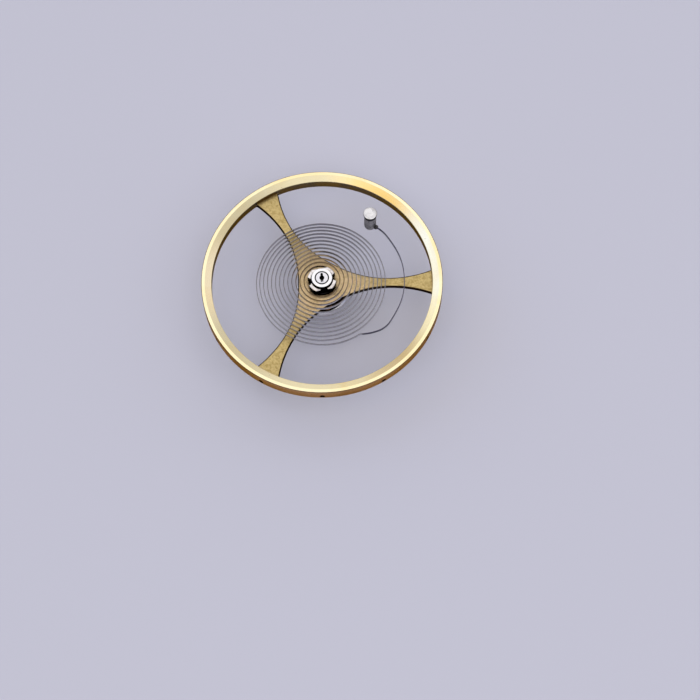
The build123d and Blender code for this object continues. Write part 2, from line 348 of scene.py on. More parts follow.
class Graph:
    """A node tree with short calls for adding to it."""

    def __init__(self, tree: NodeTree) -> None:
        """Start on a tree, emptied of what it held."""
        self.tree = tree
        tree.nodes.clear()

    def add(self, kind: str, inputs: Feeds | None = None, **settings: object) -> bpy.types.Node:
        """Add a node.

        Args:
            kind: its type name.
            inputs: what each input socket holds: another node's output, a number or a colour.
            settings: its own properties.

        Returns:
            The new node.
        """
        node = self.tree.nodes.new(kind)
        for name, value in settings.items():
            setattr(node, name, value)
        for name, value in (inputs or {}).items():
            socket = node.inputs[name]
            if isinstance(value, NodeSocket):
                self.tree.links.new(value, socket)
            else:
                socket.default_value = (*value[:3], 1) if socket.type == "RGBA" else value
        return node

    def math(self, kind: str, *values: Feed) -> NodeSocket:
        """Return the output of a math node of that kind on those values."""
        return self.add("ShaderNodeMath", dict(enumerate(values)), operation=kind).outputs[0]

    def vector(self, kind: str, inputs: Feeds, output: str | int = 0) -> NodeSocket:
        """Return an output of a vector math node of that kind on those inputs."""
        return self.add("ShaderNodeVectorMath", inputs, operation=kind).outputs[output]

    def ramp(self, value: Feed, low: Feed, high: Feed, to: Point = (0, 1), **settings: str) -> NodeSocket:
        """Stretch a value to a new range, clamped.

        Args:
            value: what is stretched.
            low: where the new range begins.
            high: where it ends.
            to: the two ends of the new range.
            settings: the node's own properties.

        Returns:
            The stretched value.
        """
        ends = {"Value": value, "From Min": low, "From Max": high, "To Min": to[0], "To Max": to[1]}
        return self.add("ShaderNodeMapRange", ends, **settings).outputs["Result"]

    def mix(self, share: Feed, first: Feed, second: Feed) -> NodeSocket:
        """Return a blend of two colours, all of the second where the share is 1."""
        return self.add("ShaderNodeMix", {0: share, 6: first, 7: second}, data_type="RGBA").outputs[2]

    def group(self, tree: NodeTree, **values: Feed) -> bpy.types.bpy_prop_collection:
        """Add a shared effect whose inputs hold those values, and return its outputs."""
        return self.add("ShaderNodeGroup", values, node_tree=tree).outputs

    def millimetres(self) -> NodeSocket:
        """Return the point on the piece, in millimetres."""
        here = self.add("ShaderNodeTexCoord").outputs["Object"]
        return self.vector("SCALE", {0: here, "Scale": 1 / MM})

    def radius(self) -> NodeSocket:
        """Return the point's distance from the Z axis, in millimetres."""
        flat = self.vector("MULTIPLY", {0: self.millimetres(), 1: (1.0, 1.0, 0.0)})
        return self.vector("LENGTH", {0: flat}, "Value")

    def cloud(self, **inputs: Feed) -> NodeSocket:
        """Return a noise over the piece, its scale to the millimetre."""
        return self.add("ShaderNodeTexNoise", {"Vector": self.millimetres(), **inputs}).outputs[0]

    def bump(self, source: NodeSocket, height: float, **over: NodeSocket) -> NodeSocket:
        """Return the normal of a relief of that height in millimetres, over another if one is given."""
        return self.add("ShaderNodeBump", {"Height": source, "Distance": height * MM, **over}).outputs[0]


class Socket(Enum):
    """The kinds of socket that the shared effects have."""

    VALUE = "NodeSocketFloat"
    COLOUR = "NodeSocketColor"


class Effect(Graph):
    """A shared effect: a node group with named inputs and outputs."""

    def __init__(self, name: str, **usual: float | Sequence[float]) -> None:
        """Start the group.

        Args:
            name: its name.
            usual: the usual value of each input, a number or a colour.
        """
        super().__init__(bpy.data.node_groups.new(name, "ShaderNodeTree"))
        for label, value in usual.items():
            kind = Socket.VALUE if isinstance(value, float) else Socket.COLOUR
            socket = self.tree.interface.new_socket(name=label, in_out="INPUT", socket_type=kind.value)
            socket.default_value = value
        self.given = self.add("NodeGroupInput").outputs

    def finished(self, **outputs: NodeSocket) -> NodeTree:
        """Give the group its outputs.

        Args:
            outputs: what each output puts out.

        Returns:
            The whole group.
        """
        for label, source in outputs.items():
            kind = Socket.COLOUR if source.type == "RGBA" else Socket.VALUE
            self.tree.interface.new_socket(name=label, in_out="OUTPUT", socket_type=kind.value)
        self.add("NodeGroupOutput", outputs)
        return self.tree


@cache
def fine_grain() -> NodeTree:
    """Build the even, sandy grain of a blasted or etched face.

    Returns:
        The effect.
    """
    coarser = 0.35
    graph = Effect("fine_grain", Scale=30.0, Softness=0.5)
    scale = graph.given["Scale"]
    near = graph.cloud(Scale=scale, Detail=3.0, Roughness=graph.given["Softness"])
    far = graph.cloud(Scale=graph.math("MULTIPLY", scale, coarser), Detail=4.0)
    return graph.finished(Height=near, Tone=graph.ramp(far, *NOISE_CORE))


@cache
def turning_marks() -> NodeTree:
    """Build the fine rings that a lathe tool or a lap leaves about the Z axis.

    Returns:
        The effect.
    """
    drift_scale = 1.4
    graph = Effect("turning_marks", Pitch=0.02, Breakup=0.4)
    pitch = graph.given["Pitch"]
    height = graph.add("ShaderNodeSeparateXYZ", {0: graph.millimetres()}).outputs[2]
    drift = graph.math("MULTIPLY", graph.cloud(Scale=drift_scale, Detail=1.0), graph.given["Breakup"])
    run = graph.math("ADD", graph.math("ADD", graph.radius(), height), graph.math("MULTIPLY", drift, pitch))
    inputs = {"W": graph.math("DIVIDE", run, pitch), "Scale": 1.0, "Detail": 2.0}
    rings = graph.add("ShaderNodeTexNoise", inputs, noise_dimensions="1D").outputs[0]
    return graph.finished(Height=rings, Tone=graph.ramp(rings, *NOISE_SPAN))


@cache
def edge_wear_and_shade() -> NodeTree:
    """Build a mask of rounded edges, broken up along their length: rubbed wear on most finishes, painted
    edge shade on finishes whose edge colour is dark.

    Returns:
        The effect.
    """
    flat_cosine, bent_cosine = 0.995, 0.80
    patch_low, patch_high = 0.35, 0.6
    graph = Effect("edge_wear_and_shade", Width=0.02, Breakup=6.0)
    width = graph.math("MULTIPLY", graph.given["Width"], MM)
    soft = graph.add("ShaderNodeBevel", {"Radius": width}, samples=4).outputs[0]
    true = graph.add("ShaderNodeNewGeometry").outputs["Normal"]
    bend = graph.ramp(graph.vector("DOT_PRODUCT", {0: soft, 1: true}, "Value"), flat_cosine, bent_cosine)
    patches = graph.ramp(graph.cloud(Scale=graph.given["Breakup"], Detail=3.0), patch_low, patch_high)
    return graph.finished(Mask=graph.math("MULTIPLY", bend, patches))


@cache
def tone_patches() -> NodeTree:
    """Build a slow change of colour over a surface, as handling and air leave it.

    Returns:
        The effect.
    """
    plain = (0.8, 0.8, 0.8, 1.0)
    span, lowest, border = 0.5, 0.18, 0.22
    graph = Effect("tone_patches", Main=plain, Patch=plain, Scale=0.5, Share=0.5)
    given = graph.given
    source = graph.cloud(Scale=given["Scale"], Detail=4.0, Distortion=0.6)
    low = graph.math("MULTIPLY_ADD", graph.math("SUBTRACT", 1.0, given["Share"]), span, lowest)
    mask = graph.ramp(source, low, graph.math("ADD", low, border))
    return graph.finished(Color=graph.mix(mask, given["Main"], given["Patch"]), Mask=mask)


@cache
def specks() -> NodeTree:
    """Build a mask of small scattered spots, such as dust or pits.

    Returns:
        The effect.
    """
    wobble_scale, sizes, core = 40.0, (0.4, 1.3), 0.6
    graph = Effect("specks", Scale=4.0, Size=0.12)
    cells = graph.add("ShaderNodeTexVoronoi", {"Vector": graph.millimetres(), "Scale": graph.given["Scale"]})
    wobble = graph.ramp(graph.cloud(Scale=wobble_scale), *NOISE_SPAN, sizes)
    reach = graph.math("MULTIPLY", graph.given["Size"], wobble)
    inner = graph.math("MULTIPLY", reach, core)
    return graph.finished(Mask=graph.ramp(cells.outputs["Distance"], reach, inner))


# Finishes


@dataclass(frozen=True)
class Finish:
    """What every finish has: its name, its colour and the colour of its patches."""

    name: str
    colour: Colour
    patch_colour: Colour

    def tone(self, graph: Graph, scale: float, share: float) -> bpy.types.bpy_prop_collection:
        """Return the outputs of the slow change between the two colours."""
        colours = {"Main": self.colour, "Patch": self.patch_colour}
        return graph.group(tone_patches(), **colours, Scale=scale, Share=share)

    def feeds(self, graph: Graph) -> Feeds:
        """Build what feeds the shader.

        Args:
            graph: the material's node tree.

        Returns:
            What each of the shader's sockets holds.
        """
        raise NotImplementedError

    @cache
    def material(self) -> Material:
        """Build the material when it is first asked for.

        Returns:
            The material.
        """
        made = bpy.data.materials.new(self.name)
        made.use_nodes = True
        graph = Graph(made.node_tree)
        shader = graph.add("ShaderNodeBsdfPrincipled", self.feeds(graph))
        graph.add("ShaderNodeOutputMaterial", {"Surface": shader.outputs[0]})
        return made


@dataclass(frozen=True)
class Metal(Finish):
    """A metal surface: its colours, how rough it is, the marks that its making left, and painted light or
    shade by radius or along edges where a finish asks for it.
    """

    # Colour and width of the rounded edges: rubbed wear where the colour is lighter, painted edge shade
    # where it is dark, as on the arms.
    worn_and_edge_shade_colour: Colour
    roughness: Point
    patch_scale: float = 0.5
    patch_share: float = 0.4
    grain_scale: float = 40.0
    grain_height: float = 0.0
    ring_pitch: float = 0.02
    ring_height: float = 0.0
    wear_and_edge_shade_width: float = 0.02
    edge_tint: Colour = (1.0, 1.0, 1.0)
    # Painted light and shade by radius: a colour blended in near the axis over the given span of radii, less
    # on the tone patches; it brightens the arms round the hub and shades the spring's inner coils.
    centre_light_and_shade_colour: Colour | None = None
    centre_light_and_shade_span: Point = (1.2, 2.6)
    centre_light_and_shade_on_patches: float = 0.55
    speck_colour: Colour = (0.25, 0.16, 0.06)
    speck_scale: float = 3.0
    speck_size: float = 0.0

    def feeds(self, graph: Graph) -> Feeds:
        """Build what feeds the shader: colours, roughness and relief.

        Args:
            graph: the material's node tree.

        Returns:
            What each of the shader's sockets holds.
        """
        grain = graph.group(fine_grain(), Scale=self.grain_scale)
        rings = graph.group(turning_marks(), Pitch=self.ring_pitch)
        wear_and_shade = graph.group(edge_wear_and_shade(), Width=self.wear_and_edge_shade_width)
        tone = self.tone(graph, self.patch_scale, self.patch_share)
        colour = tone["Color"]
        # Painted light or shade near the axis, blended in by radius.
        if self.centre_light_and_shade_colour is not None:
            near = graph.ramp(graph.radius(), self.centre_light_and_shade_span[1], self.centre_light_and_shade_span[0])
            even = graph.ramp(tone["Mask"], 0.0, 1.0, (1.0, self.centre_light_and_shade_on_patches))
            colour = graph.mix(graph.math("MULTIPLY", near, even), colour, self.centre_light_and_shade_colour)
        # Rounded edges take the edge colour: rubbed wear, or painted edge shade where that colour is dark.
        colour = graph.mix(wear_and_shade["Mask"], colour, self.worn_and_edge_shade_colour)
        if self.speck_size > 0:
            spots = graph.group(specks(), Scale=self.speck_scale, Size=self.speck_size)
            colour = graph.mix(spots["Mask"], colour, self.speck_colour)
        marks_low, marks_high = 0.3, 1.7
        marks = graph.math("ADD", grain["Tone"], rings["Tone"])
        relief = {}
        for height, source in ((self.grain_height, grain), (self.ring_height, rings)):
            if height > 0:
                relief = {"Normal": graph.bump(source["Height"], height, **relief)}
        return {
            "Base Color": colour,
            "Metallic": 1.0,
            "Specular Tint": self.edge_tint,
            "Roughness": graph.ramp(marks, marks_low, marks_high, self.roughness),
            **relief,
        }


@dataclass(frozen=True)
class Glass(Finish):
    """A clear stone."""

    roughness: float
    ior: float
    clearness: float = 0.6
    patch_scale: float = 3.0
    patch_share: float = 0.5

    def feeds(self, graph: Graph) -> Feeds:
        """Build what feeds the shader.

        Args:
            graph: the material's node tree.

        Returns:
            What each of the shader's sockets holds.
        """
        return {
            "Base Color": self.tone(graph, self.patch_scale, self.patch_share)["Color"],
            "Roughness": self.roughness,
            "IOR": self.ior,
            "Transmission Weight": self.clearness,
        }


@dataclass(frozen=True)
class Resin(Finish):
    """A set drop of shellac or cement: glossy, uneven and a little dusty."""

    roughness: Point
    coat: float
    dust_size: float = 0.16
    dust_scale: float = 12.0
    dust_colour: Colour = (0.45, 0.42, 0.38)
    coat_roughness: float = 0.08
    grain_scale: float = 14.0
    grain_height: float = 0.003
    patch_scale: float = 5.0
    patch_share: float = 0.5

    def feeds(self, graph: Graph) -> Feeds:
        """Build what feeds the shader.

        Args:
            graph: the material's node tree.

        Returns:
            What each of the shader's sockets holds.
        """
        tone = self.tone(graph, self.patch_scale, self.patch_share)
        grain = graph.group(fine_grain(), Scale=self.grain_scale)
        dust = graph.group(specks(), Scale=self.dust_scale, Size=self.dust_size)
        return {
            "Base Color": graph.mix(dust["Mask"], tone["Color"], self.dust_colour),
            "Roughness": graph.ramp(grain["Tone"], 0.0, 1.0, self.roughness),
            "Coat Weight": self.coat,
            "Coat Roughness": self.coat_roughness,
            "Normal": graph.bump(grain["Height"], self.grain_height),
        }


# Each metal gives its name, colour, patch colour, colour of worn or painted-shade edges and range of
# roughness in that order.
RIM_GILT = Metal(
    "gilt_rim_polish", (0.94, 0.82, 0.53), (0.93, 0.74, 0.40), (0.98, 0.88, 0.68), (0.16, 0.24),
    patch_scale=0.35, patch_share=0.35, ring_pitch=0.012, ring_height=0.0004, speck_size=0.05,
)
# The arms: grained gilt with specks, painted edge shade along the rounded edges (the dark edge colour), and
# a painted brightening towards the hub (the centre colour).
ARM_GILT = Metal(
    "gilt_arm_grain", (0.59, 0.45, 0.20), (0.42, 0.30, 0.112), (0.16, 0.08, 0.02), (0.34, 0.50),
    patch_scale=10.0, patch_share=0.5, grain_scale=26.0, grain_height=0.003, wear_and_edge_shade_width=0.035,
    speck_colour=(0.24, 0.12, 0.03), speck_scale=6.0, speck_size=0.10, edge_tint=(0.9, 0.75, 0.5),
    centre_light_and_shade_colour=(0.79, 0.585, 0.34),
)
# Painted shade: the rim's outer wall takes a darker, browner copy of the gilt, with turning marks and a
# brown edge tint.
SHADED_WALL_GILT = Metal(
    "gilt_outer_wall_painted_shade", (0.64, 0.39, 0.22), (0.50, 0.29, 0.155), (0.80, 0.58, 0.30), (0.20, 0.34),
    ring_pitch=0.03, ring_height=0.0008, edge_tint=(0.45, 0.30, 0.13), wear_and_edge_shade_width=0.012,
)
# Painted shade: the rim's inner wall takes a near-black brown copy of the gilt, with amber patches at random
# and a dark edge tint that keeps its grazing reflection dark.
SHADED_INNER_GILT = Metal(
    "gilt_inner_wall_painted_shade", (0.17, 0.135, 0.095), (0.27, 0.17, 0.06), (0.50, 0.32, 0.12), (0.22, 0.36),
    patch_scale=0.6, ring_pitch=0.03, ring_height=0.0008, wear_and_edge_shade_width=0.008, edge_tint=(0.5, 0.36, 0.18),
)
# Painted shade: near-black gilt for the arms' side walls, the poise holes and the rim's small edge breaks,
# with a dark edge tint.
SHADED_CUT_GILT = Metal(
    "gilt_cut_edge_painted_shade", (0.030, 0.016, 0.008), (0.018, 0.010, 0.006), (0.10, 0.05, 0.02), (0.30, 0.45),
    grain_scale=30.0, grain_height=0.002, wear_and_edge_shade_width=0.006, edge_tint=(0.12, 0.07, 0.04),
)
BRIGHT_STEEL = Metal(
    "steel_bright", (0.82, 0.80, 0.82), (0.76, 0.74, 0.77), (0.88, 0.88, 0.89), (0.07, 0.14),
    patch_scale=2.5, ring_pitch=0.010, ring_height=0.0002,
)
# Painted shade: near-black steel for pivots, cones, the staff's lip, oil sink and top chamfer, the collet's
# walls and hollows, the roller table's upper face and the stud's head, chamfers and hole.
SHADED_STEEL = Metal(
    "steel_painted_shade", (0.014, 0.012, 0.013), (0.028, 0.024, 0.024), (0.08, 0.075, 0.08), (0.12, 0.22),
    ring_pitch=0.010, ring_height=0.0002, wear_and_edge_shade_width=0.004, edge_tint=(0.15, 0.14, 0.14),
)
POST_STEEL = Metal(
    "steel_post_side", (0.52, 0.505, 0.49), (0.32, 0.31, 0.30), (0.60, 0.60, 0.61), (0.22, 0.36),
    ring_pitch=0.030, ring_height=0.0006, patch_scale=3.0, edge_tint=(0.4, 0.4, 0.4),
)
POST_SHADE_STEEL = Metal(
    "steel_post_neck", (0.17, 0.165, 0.17), (0.08, 0.075, 0.08), (0.30, 0.30, 0.31), (0.22, 0.36),
    ring_pitch=0.030, ring_height=0.0006, patch_scale=3.0, edge_tint=(0.3, 0.3, 0.3),
)
POST_TOP_STEEL = Metal(
    "steel_post_top", (0.74, 0.72, 0.73), (0.52, 0.50, 0.51), (0.82, 0.82, 0.82), (0.22, 0.38),
    patch_scale=5.0, patch_share=0.5, grain_scale=14.0, grain_height=0.004,
)
BASE_STEEL = Metal(
    "steel_collet_base", (0.76, 0.71, 0.70), (0.50, 0.44, 0.43), (0.80, 0.76, 0.75), (0.14, 0.26),
    patch_scale=5.0, patch_share=0.5, grain_scale=20.0, grain_height=0.002, wear_and_edge_shade_width=0.006,
)
STAFF_STEEL = Metal(
    "steel_staff_top", (0.72, 0.70, 0.74), (0.64, 0.62, 0.67), (0.80, 0.79, 0.81), (0.15, 0.24),
    patch_scale=2.0, ring_pitch=0.010, ring_height=0.0002, wear_and_edge_shade_width=0.004,
)
# Painted shade: the blade's top edges are darker than its walls, and darker and browner still on the inner
# coils (the centre colour).
SPRING_EDGE = Metal(
    "spring_edge_painted_shade", (0.205, 0.195, 0.215), (0.150, 0.140, 0.160), (0.25, 0.24, 0.26), (0.14, 0.22),
    wear_and_edge_shade_width=0.004, centre_light_and_shade_colour=(0.105, 0.062, 0.030), centre_light_and_shade_span=(0.95, 1.45),
)
SPRING_WALL = Metal(
    "spring_alloy_wall", (0.55, 0.54, 0.57), (0.46, 0.45, 0.48), (0.60, 0.59, 0.62), (0.18, 0.28),
    wear_and_edge_shade_width=0.004,
)
# Painted shade: the last stretch of the blade is darker than the coils.
SPRING_CURVE = Metal(
    "spring_curve_painted_shade", (0.125, 0.115, 0.160), (0.085, 0.080, 0.110), (0.10, 0.10, 0.11), (0.18, 0.28),
    edge_tint=(0.3, 0.3, 0.32), wear_and_edge_shade_width=0.004,
)
RUBY = Glass("ruby_stone", (0.75, 0.03, 0.08), (0.55, 0.01, 0.05), roughness=0.03, ior=1.76)
SHELLAC = Resin("shellac_bead", (0.36, 0.13, 0.02), (0.20, 0.06, 0.01), roughness=(0.18, 0.34), coat=0.6)
CEMENT = Resin(
    "stud_cement", (0.010, 0.009, 0.012), (0.026, 0.022, 0.026), roughness=(0.30, 0.50), coat=0.08,
    dust_size=0.05,
)


class Spot(NamedTuple):
    """Where a face's middle is, and how far its normal rises, from -1 to 1."""

    radius: float
    height: float
    rise: float


def dress(piece: Object, finishes: Sequence[Finish], pick: Callable[[Spot], Finish] | None = None) -> None:
    """Give a piece its finishes and soft shading with crisp edges.

    Args:
        piece: the piece.
        finishes: its finishes.
        pick: says which of them a face takes; without it, every face takes the first.
    """
    mesh = piece.data
    mesh.materials.clear()
    for finish in finishes:
        mesh.materials.append(finish.material())
    for face in mesh.polygons:
        x, y, height = face.center
        taken = pick(Spot(hypot(x, y), height, face.normal.z)) if pick else finishes[0]
        face.material_index = finishes.index(taken)
    mesh.shade_smooth()
    mesh.set_sharp_from_angle(angle=SHARP_ANGLE)


# Sub-assemblies


@dataclass
class Wheel:
    """The balance wheel: a bevelled rim, waisted arms and a flat-sided hub in one piece."""

    rim_radius: float = 5.0
    rim_width: float = 0.42
    rim_land: float = 0.15
    bevel_drop: float = 0.12
    edge_break: float = 0.02
    rim_segments: int = 360
    arm_count: int = 3
    arm_thickness: float = 0.19
    arm_edge: float = 0.045
    waist_width: float = 0.40
    waist_radius: float = 2.80
    flare_radius: float = 4.80
    corner_radius: float = 0.07
    hub_flat_width: float = 0.372
    seat_radius: float = 0.50
    hole_count: int = 12
    first_hole_angle: float = -0.6
    hole_radius: float = 0.097
    hole_depth: float = 0.22
    hole_height: float = 0.16
    hole_chamfer: float = 0.015
    hole_point: float = 0.04
    hole_segments: int = 32
    drill_start: float = 0.05
    seat_segments: int = 96
    arc_steps: int = 28
    corner_steps: int = 8
    rim_steps: int = 40
    lap: float = 0.005
    level: float = 0.985

    @property
    def low(self) -> float:
        """Height of the wheel's lower face."""
        return levels("balance_wheel")[0]

    @property
    def rim_inner_radius(self) -> float:
        """Radius of the rim's inner wall."""
        return self.rim_radius - self.rim_width

    def window(self, angle: float) -> list[Vector]:
        """Draw one window between two arms.

        Args:
            angle: where its middle lies, in degrees.

        Returns:
            Its outline: a hub flat, two arcs that narrow the arms, two that flare them, and the rim.
        """
        half = radians(180 / self.arm_count)
        out, aside = self.waist_radius, self.waist_width / 2
        waist = Vector((out * cos(half) + aside * sin(half), out * sin(half) - aside * cos(half)))
        root_radius = (waist.y - self.hub_flat_width / 2) / cos(half)
        root_centre = Vector((waist.x + root_radius * sin(half), self.hub_flat_width / 2))
        flare_centre = waist + polar(self.flare_radius, degrees(half) - 90)
        outer = self.rim_inner_radius + self.lap
        reach, inner_reach = flare_centre.length, outer - self.corner_radius
        bend = self.flare_radius - self.corner_radius
        along = (inner_reach**2 - bend**2 + reach**2) / (2 * reach)
        across = Vector((-flare_centre.y, flare_centre.x)).normalized()
        corner = flare_centre.normalized() * along + across * sqrt(inner_reach**2 - along**2)
        to_waist, to_flare, to_rim = 90 + degrees(half), bearing(corner - flare_centre), bearing(corner)
        upper = [
            *arc(root_radius, 180, to_waist, self.arc_steps, root_centre),
            *arc(self.flare_radius, to_waist, to_flare, self.arc_steps, flare_centre)[1:],
            *arc(self.corner_radius, to_flare, to_rim, self.corner_steps, corner)[1:],
            *arc(outer, to_rim, 0, self.rim_steps)[1:],
        ]
        lower = [Vector((point.x, -point.y)) for point in reversed(upper[:-1])]
        return [turned(point, angle) for point in upper + lower]

    def arms(self) -> Object:
        """Build the plate of arms and hub.

        Returns:
            The plate, which reaches into the rim.
        """
        pitch = 360 / self.arm_count
        outlines = [
            circle((self.rim_inner_radius + self.rim_radius) / 2, self.rim_segments),
            circle(self.seat_radius, self.seat_segments),
            *(self.window(pitch * (i + 0.5)) for i in range(self.arm_count)),
        ]
        return plate("arms", outlines, self.low + self.lap, self.low + self.arm_thickness, self.arm_edge)

    def rim(self) -> Object:
        """Build the rim, with its poise holes.

        Returns:
            The rim.
        """
        low, high = levels("balance_wheel")
        inner, outer, edge = self.rim_inner_radius, self.rim_radius, self.edge_break
        profile = [
            (inner, low, edge),
            (outer, low, edge),
            (outer, high, edge),
            (outer - self.rim_land, high, edge / 2),
            (inner, high - self.bevel_drop, edge),
        ]
        ring = lathe("rim_and_arms", rounded(profile), self.rim_segments, closed=True)
        drill_profile = [
            (0, -self.hole_depth - self.hole_point),
            (self.hole_radius, -self.hole_depth),
            (self.hole_radius, -self.hole_chamfer),
            (self.hole_radius + self.hole_chamfer + self.drill_start, self.drill_start),
            (0, self.drill_start),
        ]
        for i in range(self.hole_count):
            angle = self.first_hole_angle + 360 * i / self.hole_count
            seat = polar(outer, angle).to_3d() + Vector((0, 0, low + self.hole_height))
            drill = lathe("drill", drill_profile, self.hole_segments)
            combine(ring, move(drill, laid_level(angle, seat)))
        return ring

    def finish_of(self, spot: Spot) -> Finish:
        """Choose the finish of a face of the wheel.

        Args:
            spot: the face.

        Returns:
            One of the five gilt finishes, three of them painted shade: the walls, the cut edges and the
            poise holes.
        """
        inner, outer = self.rim_inner_radius, self.rim_radius
        if spot.radius < inner - self.lap:
            return ARM_GILT if abs(spot.rise) > self.level else SHADED_CUT_GILT
        drilled = inner + 2 * self.lap < spot.radius < outer - self.lap
        if drilled and self.edge_break < spot.height - self.low < 2 * self.hole_height:
            return SHADED_CUT_GILT
        if spot.rise > WALL:
            return SHADED_CUT_GILT if spot.radius > outer - self.edge_break else RIM_GILT
        if spot.rise < -WALL:
            return ARM_GILT if spot.rise < -LEVEL else SHADED_CUT_GILT
        return SHADED_WALL_GILT if spot.radius > inner + self.edge_break else SHADED_INNER_GILT

    def build(self) -> None:
        """Build the wheel, dress it and place it."""
        wheel = self.rim()
        combine(wheel, self.arms(), Cut.JOIN)
        dress(wheel, (RIM_GILT, ARM_GILT, SHADED_WALL_GILT, SHADED_CUT_GILT, SHADED_INNER_GILT), self.finish_of)
        place(wheel, "balance", "balance_wheel")


@dataclass
class Staff:
    """The turned arbor: two pivots, the roller's seat, the hub with its flange, and the lip."""

    pivot_radius: float = 0.052
    pivot_length: float = 0.25
    tip_chamfer: float = 0.015
    lower_cone: Point = (0.14, 0.15)
    upper_cone: Point = (0.084, 0.09)
    cone_straight: float = 0.06
    oil_sink: Point = (0.100, 0.012)
    roller_seat_radius: float = 0.21
    hub_radius: float = 0.42
    flange_radius: float = 0.60
    flange_height: float = 0.20
    wheel_seat_radius: float = 0.498
    lip_width: float = 0.03
    lip_height: float = 0.06
    collet_seat_radius: float = 0.27
    top_chamfer: float = 0.022
    soft_edge: float = 0.02
    crisp_edge: float = 0.008
    segments: int = 160

    def build(self) -> None:
        """Turn the staff, dress it and place it."""
        wheel, (wheel_low, _) = Wheel(), levels("balance_wheel")
        table_top, shoulder, tip = levels("roller_table")[1], levels("collet")[1], levels("balance_staff")[1]
        arm_top = wheel_low + wheel.arm_thickness
        lip_top, flange_low = arm_top + self.lip_height, wheel_low - self.flange_height
        pivot, soft, crisp = self.pivot_radius, self.soft_edge, self.crisp_edge
        cone_foot = self.pivot_length + self.lower_cone[1]
        (cone, cone_height), (sink, sink_depth) = self.upper_cone, self.oil_sink
        profile = [
            (0, 0, 0),
            (pivot, 0, self.tip_chamfer),
            (pivot, self.pivot_length, 3 * soft),
            (self.lower_cone[0], cone_foot, crisp),
            (self.roller_seat_radius, cone_foot, soft),
            (self.roller_seat_radius, table_top, 0),
            (self.hub_radius, table_top, soft),
            (self.hub_radius, flange_low, soft),
            (self.flange_radius, flange_low, soft),
            (self.flange_radius, wheel_low, crisp),
            (self.wheel_seat_radius, wheel_low, 0),
            (self.wheel_seat_radius, arm_top, 0),
            (self.wheel_seat_radius + self.lip_width, arm_top, crisp),
            (self.wheel_seat_radius, lip_top, soft),
            (self.collet_seat_radius, lip_top, 0),
            (self.collet_seat_radius, shoulder, self.top_chamfer),
            (sink, shoulder, crisp / 2),
            (sink - crisp, shoulder - sink_depth, crisp / 2),
            (cone, shoulder - sink_depth, crisp / 2),
            (cone, shoulder + self.cone_straight, soft),
            (pivot, shoulder + cone_height, soft),
            (pivot, tip, self.tip_chamfer),
            (0, tip, 0),
        ]
        staff = lathe("turned_staff", rounded(profile, closed=False), self.segments)
        chamfer_foot = shoulder - 2 * self.top_chamfer

        def finish_of(spot: Spot) -> Finish:
            """Choose the finish of a face of the staff.

            Args:
                spot: the face.

            Returns:
                The painted shade for pivots, cones, oil sink, lip and top chamfer, or else the polish.
            """
            pin = spot.height < cone_foot or (spot.height > chamfer_foot and spot.radius < sink)
            chamfer = spot.height > chamfer_foot and spot.radius > self.collet_seat_radius - self.top_chamfer
            lip = arm_top < spot.height < arm_top + 2 * self.lip_height
            return SHADED_STEEL if pin or chamfer or lip else STAFF_STEEL

        dress(staff, (STAFF_STEEL, SHADED_STEEL), finish_of)
        place(staff, "balance", "balance_staff")


